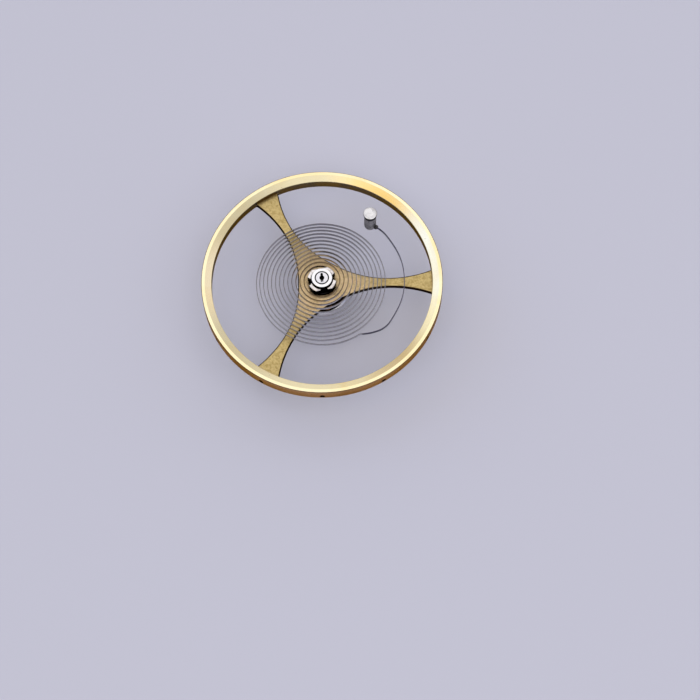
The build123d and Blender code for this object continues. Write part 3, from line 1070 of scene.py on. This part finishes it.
@dataclass
class Collet:
    """The collet: a round with two flats and three notches, and a boss with a countersink."""

    radius: float = 0.60
    flat_distance: float = 0.50
    notch_distance: float = 0.61
    notches: tuple[Point, ...] = ((0.0, 0.17), (180.0, 0.17), (270.0, 0.205))
    angle: float = 10.0
    outline_points: int = 720
    base_height: float = 0.36
    edge: float = 0.028
    crisp_edge: float = 0.008
    boss_radius: float = 0.425
    groove_radius: float = 0.47
    groove_depth: float = 0.06
    countersink_radius: float = 0.298
    countersink_depth: float = 0.03
    bore_radius: float = 0.272
    slot_depth: float = 0.025
    slot_reach: float = 0.84
    slot_play: float = 0.004
    slot_angles: range = range(42, 81, 2)
    wall_rise: float = 0.5
    hole_segments: int = 96
    segments: int = 160

    def outline(self) -> list[Vector]:
        """Draw the base, as the distance from its middle at every angle.

        Returns:
            The outline.
        """
        points = []
        for i in range(self.outline_points):
            angle = radians(360 * i / self.outline_points)
            reach = self.radius
            if abs(sin(angle)) * reach > self.flat_distance:
                reach = self.flat_distance / abs(sin(angle))
            for middle, radius in self.notches:
                off = self.notch_distance * sin(angle - radians(middle))
                along = self.notch_distance * cos(angle - radians(middle))
                if abs(off) < radius and along > 0:
                    reach = min(reach, along - sqrt(radius**2 - off**2))
            points.append(polar(reach, degrees(angle) + self.angle))
        return points

    def slot(self) -> Object:
        """Build the cutter for the groove that holds the spring's inner end.

        Returns:
            The cutter.
        """
        blade_low, blade_high = levels("hairspring")
        middle, height = (blade_low + blade_high) / 2, blade_high - blade_low + 2 * self.slot_play
        low, high = middle - height / 2, middle + height / 2
        rings = []
        for angle in self.slot_angles:
            near = polar(self.radius - self.slot_depth, angle)
            far = polar(self.slot_reach, angle)
            rings.append([Vector(p) for p in ((*near, low), (*far, low), (*far, high), (*near, high))])
        return skin("groove", rings)

    def build(self) -> None:
        """Build the collet, dress it and place it."""
        low, high = levels("collet")
        base_top, crisp = low + self.base_height, self.crisp_edge
        inside, groove_low = (self.bore_radius + self.boss_radius) / 2, base_top - self.groove_depth
        hole = circle(inside - self.edge, self.hole_segments)
        collet = plate("split_collet", [self.outline(), hole], low, base_top, self.edge)
        groove = [
            (inside, groove_low),
            (self.groove_radius, groove_low),
            (self.groove_radius, base_top + self.edge),
            (inside, base_top + self.edge),
        ]
        combine(collet, lathe("neck", groove, self.segments, closed=True))
        boss = [
            (self.bore_radius, low + self.edge, crisp),
            (self.boss_radius, low + self.edge, crisp),
            (self.boss_radius, high, crisp),
            (self.countersink_radius, high, crisp / 2),
            (self.bore_radius, high - self.countersink_depth, crisp),
        ]
        combine(collet, lathe("boss", rounded(boss), self.segments, closed=True), Cut.JOIN)
        combine(collet, self.slot())

        def finish_of(spot: Spot) -> Finish:
            """Choose the finish of a face of the collet.

            Args:
                spot: the face.

            Returns:
                The bright finish of the boss's top, the painted shade of walls and hollows, or the finish of
                the base's top.
            """
            sunk = spot.radius < self.countersink_radius or spot.height < base_top - self.groove_depth / 2
            if sunk or spot.rise < self.wall_rise:
                return SHADED_STEEL
            return BRIGHT_STEEL if spot.radius < self.boss_radius else BASE_STEEL

        dress(collet, (BRIGHT_STEEL, SHADED_STEEL, BASE_STEEL), finish_of)
        place(collet, "balance", "collet")


@dataclass
class Roller:
    """The double roller, its impulse jewel and the bead of shellac."""

    bore_radius: float = 0.212
    table_radius: float = 1.06
    table_thickness: float = 0.20
    table_bevel: Point = (0.08, 0.035)
    sleeve_radius: float = 0.35
    safety_radius: float = 0.55
    safety_height: float = 0.25
    crescent_radius: float = 0.14
    crescent_offset: float = 0.05
    edge: float = 0.012
    past: float = 0.03
    jewel_circle_radius: float = 0.74
    jewel_angle: float = 285.0
    jewel_radius: float = 0.11
    jewel_flat: float = 0.055
    jewel_edge: float = 0.008
    jewel_play: float = 0.002
    bead_radius: float = 0.197
    bead_roundness: float = 0.7
    bead_flow: float = 0.10
    bead_noise_scale: float = 9.0
    bead_hole_past: float = 0.1
    bead_hole_edge: float = 0.01
    bead_segments: int = 72
    bead_steps: int = 14
    jewel_steps: int = 40
    crescent_segments: int = 64
    segments: int = 200

    def jewel_outline(self, play: float) -> list[Vector]:
        """Draw the jewel's D section, its flat turned away from the staff.

        Args:
            play: how much larger than the stone it is drawn.

        Returns:
            The outline, in place.
        """
        radius = self.jewel_radius + play
        flat = degrees(acos((self.jewel_flat + play) / radius))
        axis = polar(self.jewel_circle_radius, self.jewel_angle)
        around = arc(radius, flat, 360 - flat, self.jewel_steps)
        return [axis + turned(point, self.jewel_angle) for point in around]

    def build_roller(self) -> None:
        """Turn the roller, cut its crescent and the jewel's hole, and place it."""
        low, high = levels("roller_table")
        edge, past = self.edge, self.past
        safety_top, table_low = low + self.safety_height, high - self.table_thickness
        profile = [
            (self.bore_radius, low, edge),
            (self.safety_radius, low, edge),
            (self.safety_radius, safety_top, edge),
            (self.sleeve_radius, safety_top, 2 * edge),
            (self.sleeve_radius, table_low, 2 * edge),
            (self.table_radius, table_low, edge),
            (self.table_radius, high - self.table_bevel[1], edge),
            (self.table_radius - self.table_bevel[0], high, edge / 2),
            (self.bore_radius, high, edge),
        ]
        roller = lathe("double_roller", rounded(profile), self.segments, closed=True)
        centre = polar(self.safety_radius + self.crescent_offset, self.jewel_angle)
        crescent = circle(self.crescent_radius, self.crescent_segments, centre)
        combine(roller, plate("crescent", [crescent], low - past, safety_top + past, past / 4))
        hole = self.jewel_outline(self.jewel_play)
        combine(roller, plate("hole", [hole], table_low - past, high + past, past / 4))

        def finish_of(spot: Spot) -> Finish:
            """Return the painted shade for the table's upper face, or else the polish."""
            return SHADED_STEEL if spot.height > high - edge and spot.rise > LEVEL else BRIGHT_STEEL

        dress(roller, (BRIGHT_STEEL, SHADED_STEEL), finish_of)
        place(roller, "balance", "roller_table")

    def build_jewel(self) -> None:
        """Cut the impulse jewel and place it."""
        jewel = plate("ruby_pin", [self.jewel_outline(0)], *levels("impulse_jewel"), self.jewel_edge)
        dress(jewel, (RUBY,))
        place(jewel, "balance", "impulse_jewel")

    def build_bead(self) -> None:
        """Melt the bead of shellac round the jewel and place it."""
        low, high = levels("jewel_shellac")
        quarter = (pi / 2 * i / self.bead_steps for i in range(self.bead_steps + 1))
        profile = [
            (self.bead_radius * sin(a), low + (high - low) * cos(a) ** self.bead_roundness) for a in quarter
        ]
        bead = lathe("shellac_bead", profile, self.bead_segments)
        for point in bead.data.vertices:
            flow = shrinkage(point.co * self.bead_noise_scale, self.bead_flow)
            point.co.x *= flow
            point.co.y *= flow
        move(bead, Matrix.Translation(polar(self.jewel_circle_radius, self.jewel_angle).to_3d()))
        past, hole = self.bead_hole_past, self.jewel_outline(self.jewel_play)
        combine(bead, plate("hole", [hole], low - past, high + past, self.bead_hole_edge))
        dress(bead, (SHELLAC,))
        place(bead, "balance", "jewel_shellac")

    def build(self) -> None:
        """Build the roller and what it carries."""
        self.build_roller()
        self.build_jewel()
        self.build_bead()


@dataclass
class Hairspring:
    """The flat coiled blade: even turns whose centre wanders, and a stepped-out last stretch."""

    blade_thickness: float = 0.032
    blade_height: float = 0.12
    blade_edge: float = 0.004
    coil_inner_radius: float = 0.595
    coil_outer_radius: float = 2.83
    regulator_radius: float = 3.41
    whole_turns: int = 12
    start_angle: float = 45.0
    end_angle: float = 240.0
    start_shift: Point = (-0.047, -0.010)
    end_shift: Point = (-0.014, -0.100)
    shift_power: float = 2.5
    squeeze: float = 0.042
    squeeze_power: float = 8.0
    kink_headings: Point = (32.5, 9.0)
    kink_length: float = 0.06
    way_out: tuple[Point, ...] = (
        (-58.9, 0.077),
        (-49.9, 0.481),
        (-41.9, 0.822),
        (-34.0, 0.921),
        (-15.1, 0.986),
        (1.1, 1.003),
        (17.4, 0.990),
        (36.6, 0.938),
    )
    stud_circle_radius: float = 3.28
    stud_angle: float = 51.33
    stud_radius: float = 0.285
    stud_entry_heading: float = 146.5
    past_stud_axis: float = 0.15
    past_coils: float = 0.12
    seat_length: float = 0.34
    steps_per_arc: int = 26
    fewest_steps: int = 3
    straight: float = 1e-5
    wall_rise: float = 0.5

    @property
    def middle(self) -> float:
        """Height of the blade's middle."""
        return sum(levels("hairspring")) / 2

    @property
    def coil_turn(self) -> float:
        """How far the coil turns, in degrees."""
        return 360 * self.whole_turns + self.end_angle - self.start_angle

    @property
    def stud_axis(self) -> Vector:
        """Middle of the stud."""
        return polar(self.stud_circle_radius, self.stud_angle)

    @property
    def stud_entry(self) -> Vector:
        """Where the blade enters the stud."""
        return self.stud_axis - polar(self.stud_radius, self.stud_entry_heading)

    def coil_point(self, share: float) -> Vector:
        """Find the blade's middle in the coil.

        Args:
            share: how far along the coil, from 0 at the collet to 1.

        Returns:
            The flat point.
        """

        def along(shift: Point, angle: float) -> float:
            """Return how far a shift of the centre moves the coil at an angle."""
            return shift[0] * cos(radians(angle)) + shift[1] * sin(radians(angle))

        angle = self.start_angle + self.coil_turn * share
        first = self.coil_inner_radius - along(self.start_shift, self.start_angle)
        last = self.coil_outer_radius + self.squeeze - along(self.end_shift, self.end_angle)
        (x0, y0), (x1, y1) = self.start_shift, self.end_shift
        shift = (x0 + (x1 - x0) * share, y0 + (y1 - y0) * share**self.shift_power)
        radius = first + (last - first) * share + along(shift, angle)
        return polar(radius - self.squeeze * share**self.squeeze_power, angle)

    def coil_heading(self, share: float) -> Vector:
        """Return the blade's direction at a share of the coil."""
        step = 1 / (360 * self.whole_turns)
        return (self.coil_point(min(share + step, 1)) - self.coil_point(max(share - step, 0))).normalized()

    def nodes(self) -> list[tuple[Vector, Vector]]:
        """Find the points that the blade is bent through.

        Returns:
            Each point with the blade's direction there.
        """
        half_turns = -int(-self.coil_turn // 180)
        shares = [i / half_turns for i in range(half_turns + 1)]
        found = [(self.coil_point(share), self.coil_heading(share)) for share in shares]
        step_out = self.regulator_radius - self.coil_outer_radius
        out = [polar(self.coil_outer_radius + share * step_out, angle) for angle, share in self.way_out]
        kink_in, kink_out = self.kink_headings
        kink_end = out[0] + polar(self.kink_length, (kink_in + kink_out) / 2)
        found += [(out[0], polar(1, kink_in)), (kink_end, polar(1, kink_out))]
        around = [kink_end, *out[1:], self.stud_entry]
        for before, point, after in zip(around, around[1:], around[2:]):
            found.append((point, (after - before).normalized()))
        found.append((self.stud_entry, polar(1, self.stud_entry_heading)))
        return found

    def path(self) -> list[Vector]:
        """Follow the blade from the collet into the stud, on arcs that meet smoothly.

        Returns:
            The points of its middle line.
        """
        nodes = self.nodes()
        points = [nodes[0][0]]
        for (start, start_way), (end, end_way) in zip(nodes, nodes[1:]):
            chord = end - start
            spread = 2 * (1 - start_way.dot(end_way))
            along = chord.dot(start_way + end_way)
            reach = (sqrt(along**2 + spread * chord.dot(chord)) - along) / spread
            first, second = start + start_way * reach, end - end_way * reach
            middle, middle_way = (first + second) / 2, (second - first).normalized()
            points += self.bent(start, start_way, middle) + self.bent(middle, middle_way, end)
        points.append(self.stud_axis + polar(self.past_stud_axis, self.stud_entry_heading))
        return points

    def bent(self, start: Vector, way: Vector, end: Vector) -> list[Vector]:
        """Bend the blade along one arc.

        Args:
            start: where the arc begins.
            way: its direction there.
            end: where it ends.

        Returns:
            The points after the start.
        """
        chord = end - start
        half = atan2(way.x * chord.y - way.y * chord.x, way.dot(chord))
        steps = max(self.fewest_steps, round(self.steps_per_arc * min(1, abs(half) * 4 / pi)))
        if abs(half) < self.straight:
            return [start + chord * (i / steps) for i in range(1, steps + 1)]
        heading = bearing(way)
        return [
            start
            + polar(chord.length * sin(half * i / steps) / sin(half), heading + degrees(half) * i / steps)
            for i in range(1, steps + 1)
        ]

    def finish_of(self, spot: Spot) -> Finish:
        """Return the painted-shade finish of the last stretch, or the finish of the coils' walls, or the
        painted-shade finish of their edges.
        """
        coil = SPRING_WALL if abs(spot.rise) < self.wall_rise else SPRING_EDGE
        return SPRING_CURVE if spot.radius > self.coil_outer_radius + self.past_coils else coil

    def build(self) -> None:
        """Roll the blade along its path, dress it, bring it to metres and hide the imported spring."""
        middle, path = self.middle, self.path()
        side, top, edge = self.blade_thickness / 2, self.blade_height / 2, self.blade_edge
        half = [(side, edge - top), (side, top - edge), (side - edge, top), (edge - side, top)]
        section = half + [(-u, -v) for u, v in half]
        rings, run = [], [0.0]
        for i, point in enumerate(path):
            way = (path[min(i + 1, len(path) - 1)] - path[max(i - 1, 0)]).normalized()
            across = Vector((way.y, -way.x))
            rings.append([(point + across * u).to_3d() + Vector((0, 0, middle + v)) for u, v in section])
            if i:
                run.append(run[-1] + (point - path[i - 1]).length)
        blade = skin("hairspring_blade", rings)
        dress(blade, (SPRING_EDGE, SPRING_WALL, SPRING_CURVE), self.finish_of)
        move(blade, Matrix.Scale(MM, 4))
        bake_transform(blade)
        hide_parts("hairspring")
        LOG.info("%s: %.1f mm long, from the collet to the stud", blade.name, run[-1])


@dataclass
class Stud:
    """The post that holds the spring's outer end, with its bead of cement."""

    radius: float = 0.285
    shank_radius: float = 0.25
    head_height: float = 0.07
    neck_height: float = 0.04
    shade_height: float = 0.13
    top_chamfer: float = 0.020
    chamfer: float = 0.03
    hole_radius: float = 0.075
    hole_reach: float = 0.4
    bead_radius: float = 0.108
    bead_flow: float = 0.16
    bead_noise_scale: float = 14.0
    level: float = 0.95
    wall_rise: float = 0.2
    hole_segments: int = 32
    segments: int = 128
    spring: Hairspring = field(default_factory=Hairspring)

    def build_post(self) -> None:
        """Turn the post, drill it, dress it and place it."""
        low, high = levels("stud")
        head_foot = high - self.head_height
        neck_foot = head_foot - self.neck_height
        corners = [
            (0, low, 0),
            (self.shank_radius, low, self.chamfer),
            (self.shank_radius, neck_foot - self.shade_height, 0),
            (self.shank_radius, neck_foot, self.top_chamfer),
            (self.radius, head_foot, self.top_chamfer),
            (self.radius, high, self.top_chamfer),
            (0, high, 0),
        ]
        post = lathe("stud_post", rounded(corners, closed=False), self.segments)
        hole, reach = self.hole_radius, self.hole_reach
        through = [(0, -reach), (hole, -reach), (hole, reach), (0, reach)]
        drill = lathe("drill", through, self.hole_segments)
        across = laid_level(self.spring.stud_entry_heading, Vector((0, 0, self.spring.middle)))
        combine(post, move(drill, across))

        def finish_of(spot: Spot) -> Finish:
            """Choose the finish of a face of the post.

            Args:
                spot: the face.

            Returns:
                The finish of the ends, the painted shade of chamfers, head and hole, the painted shade of
                the neck, or the finish of the shank.
            """
            if abs(spot.rise) > self.level:
                return POST_TOP_STEEL
            drilled = spot.radius < self.shank_radius - self.chamfer / 2
            if drilled or spot.height > head_foot or abs(spot.rise) > self.wall_rise:
                return SHADED_STEEL
            return POST_SHADE_STEEL if spot.height > neck_foot - self.shade_height else POST_STEEL

        dress(post, (POST_STEEL, POST_TOP_STEEL, SHADED_STEEL, POST_SHADE_STEEL), finish_of)
        move(post, Matrix.Translation(self.spring.stud_axis.to_3d()))
        place(post, "fixed", "stud")

    def build_bead(self) -> None:
        """Build the bead of cement where the spring enters the post, and place it."""
        height, reach = self.spring.middle, 2 * self.bead_radius
        shape = bmesh.new()
        bmesh.ops.create_icosphere(shape, subdivisions=4, radius=self.bead_radius)
        for point in shape.verts:
            point.co *= shrinkage(point.co * self.bead_noise_scale, self.bead_flow)
        bead = object_of("cement_bead", shape)
        move(bead, Matrix.Translation(self.spring.stud_entry.to_3d() + Vector((0, 0, height))))
        ends = [(0, height - reach), (self.shank_radius, height - reach)]
        ends += [(self.shank_radius, height + reach), (0, height + reach)]
        post = move(lathe("post", ends, self.segments), Matrix.Translation(self.spring.stud_axis.to_3d()))
        combine(bead, post)
        dress(bead, (CEMENT,))
        place(bead, "fixed", "stud_cement")

    def build(self) -> None:
        """Build the post and its bead."""
        self.build_post()
        self.build_bead()


# Studio


def direction(azimuth: float, elevation: float) -> Vector:
    """Return the way to a bearing and a height above the horizon, both in degrees."""
    return Vector((*polar(cos(radians(elevation)), azimuth), sin(radians(elevation))))


@dataclass(frozen=True)
class Softbox:
    """A soft square lamp, aimed at the middle of the balance and not seen in its metal."""

    name: str
    azimuth: float
    elevation: float
    distance: float
    size: float
    radiance: float

    def build(self, target: Vector) -> None:
        """Hang the lamp.

        Args:
            target: what it is aimed at, in metres.
        """
        lamp = bpy.data.lights.new(self.name, "AREA")
        lamp.shape = "SQUARE"
        lamp.size = self.size
        lamp.energy = self.radiance * pi * self.size**2
        hung = bpy.data.objects.new(self.name, lamp)
        way = direction(self.azimuth, self.elevation)
        hung.location = target + way * self.distance
        hung.rotation_euler = way.to_track_quat("Z", "Y").to_euler()
        hung.visible_glossy = False
        bpy.context.scene.collection.objects.link(hung)


@dataclass(frozen=True)
class Glow:
    """A patch of the room that is brighter or darker than the rest, with a soft border."""

    azimuth: float
    elevation: float
    inner: float
    outer: float
    level: Colour

    def add_to(self, graph: Graph, way: NodeSocket, light: Feed) -> NodeSocket:
        """Add the patch to the room's light.

        Args:
            graph: the room's node tree.
            way: the direction that is looked in.
            light: the light so far.

        Returns:
            The light with the patch.
        """
        near = graph.vector("DOT_PRODUCT", {0: way, 1: direction(self.azimuth, self.elevation)}, "Value")
        low, high = cos(radians(self.outer)), cos(radians(self.inner))
        share = graph.ramp(near, low, high, interpolation_type="SMOOTHSTEP")
        patch = graph.vector("SCALE", {0: self.level, "Scale": share})
        return graph.vector("ADD", {0: light, 1: patch})


@dataclass
class Studio:
    """Floor, lamps, surroundings and camera."""

    floor_colour: Colour = (0.495, 0.49, 0.574)
    floor_roughness: float = 0.8
    floor_gloss: float = 0.2
    floor_radius: float = 600.0
    floor_segments: int = 128
    floor_drop: float = 0.25
    room: Colour = (0.66, 0.66, 0.66)
    glows: tuple[Glow, ...] = (
        Glow(155, 36, 16, 36, (0.40, 0.44, 0.46)),
        Glow(163, 43, 8, 26, (0.00, 0.12, 0.58)),
        Glow(114, 25, 3, 14, (-0.06, -0.14, -0.22)),
        Glow(90, 68, 14, 30, (0.56, 0.56, 0.56)),
        Glow(270, 66, 8, 28, (0.29, 0.36, 0.50)),
        Glow(216, 58, 4, 24, (0.42, 0.18, -0.24)),
        Glow(28, 37, 5, 22, (0.29, 0.26, 0.33)),
        Glow(90, 20, 6, 22, (0.22, 0.22, 0.22)),
        Glow(270, 12, 30, 46, (-0.60, -0.60, -0.60)),
    )
    lamps: tuple[Softbox, ...] = (
        Softbox("front_softbox", 305.0, 56.0, 0.40, 0.34, 0.95),
        Softbox("top_softbox", 270.0, 74.0, 0.40, 0.30, 1.00),
    )
    camera_elevation: float = 68.04
    camera_roll: float = -1.10
    camera_distance: float = 80.0
    camera_lens: float = 99.46
    camera_sensor: float = 36.0
    camera_clip: Point = (0.002, 10.0)
    aim_aside: Point = (-1.160, 2.909)

    def build_floor(self) -> None:
        """Lay the pale floor."""
        shape = bmesh.new()
        sizes = {"radius": self.floor_radius, "segments": self.floor_segments}
        bmesh.ops.create_circle(shape, cap_ends=True, **sizes)
        floor = object_of("floor", shape)
        move(floor, Matrix.Translation((0, 0, -self.floor_drop)))
        move(floor, Matrix.Scale(MM, 4))
        made = bpy.data.materials.new("pale_floor")
        made.use_nodes = True
        shader = made.node_tree.nodes["Principled BSDF"]
        shader.inputs["Base Color"].default_value = (*self.floor_colour, 1)
        shader.inputs["Roughness"].default_value = self.floor_roughness
        shader.inputs["Specular IOR Level"].default_value = self.floor_gloss
        floor.data.materials.append(made)

    def build_surroundings(self) -> None:
        """Give the room its light, with the patches that the metal mirrors."""
        world = bpy.data.worlds.new("studio")
        bpy.context.scene.world = world
        world.use_nodes = True
        graph = Graph(world.node_tree)
        way = graph.add("ShaderNodeTexCoord").outputs["Generated"]
        light = self.room
        for glow in self.glows:
            light = glow.add_to(graph, way, light)
        back = graph.add("ShaderNodeBackground", {"Color": light})
        graph.add("ShaderNodeOutputWorld", {"Surface": back.outputs[0]})

    def build_camera(self, rim_top: float) -> None:
        """Stand the camera where the photograph was taken from.

        Args:
            rim_top: height of the rim's upper face, which the camera's place is measured from.
        """
        tilt, roll = radians(self.camera_elevation), radians(self.camera_roll)
        back = Vector((0, -cos(tilt), sin(tilt)))
        level, steep = Vector((1, 0, 0)), back.cross(Vector((1, 0, 0)))
        right = level * cos(roll) + steep * sin(roll)
        up = steep * cos(roll) - level * sin(roll)
        spot = back * self.camera_distance - right * self.aim_aside[0] - up * self.aim_aside[1]
        spot.z += rim_top
        data = bpy.data.cameras.new("camera")
        data.lens = self.camera_lens
        data.sensor_width = self.camera_sensor
        data.clip_start, data.clip_end = self.camera_clip
        camera = bpy.data.objects.new("camera", data)
        turn = Matrix((right, up, back)).transposed().to_4x4()
        camera.matrix_world = Matrix.Translation(spot * MM) @ turn
        bpy.context.scene.collection.objects.link(camera)
        bpy.context.scene.camera = camera

    def build(self) -> None:
        """Set up everything round the object."""
        rim_top = levels("balance_wheel")[1]
        self.build_camera(rim_top)
        self.build_floor()
        self.build_surroundings()
        for lamp in self.lamps:
            lamp.build(Vector((0, 0, rim_top)) * MM)
        bpy.context.scene.view_settings.view_transform = "Standard"
        LOG.info("studio: %d lamps", len(self.lamps))


def main() -> None:
    """Build the studio and every sub-assembly in order."""
    logging.basicConfig(level=logging.INFO, format="%(name)s %(message)s")
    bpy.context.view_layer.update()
    Studio().build()
    for part in (Wheel(), Staff(), Collet(), Roller(), Hairspring(), Stud()):
        part.build()


if __name__ == "__main__":
    main()
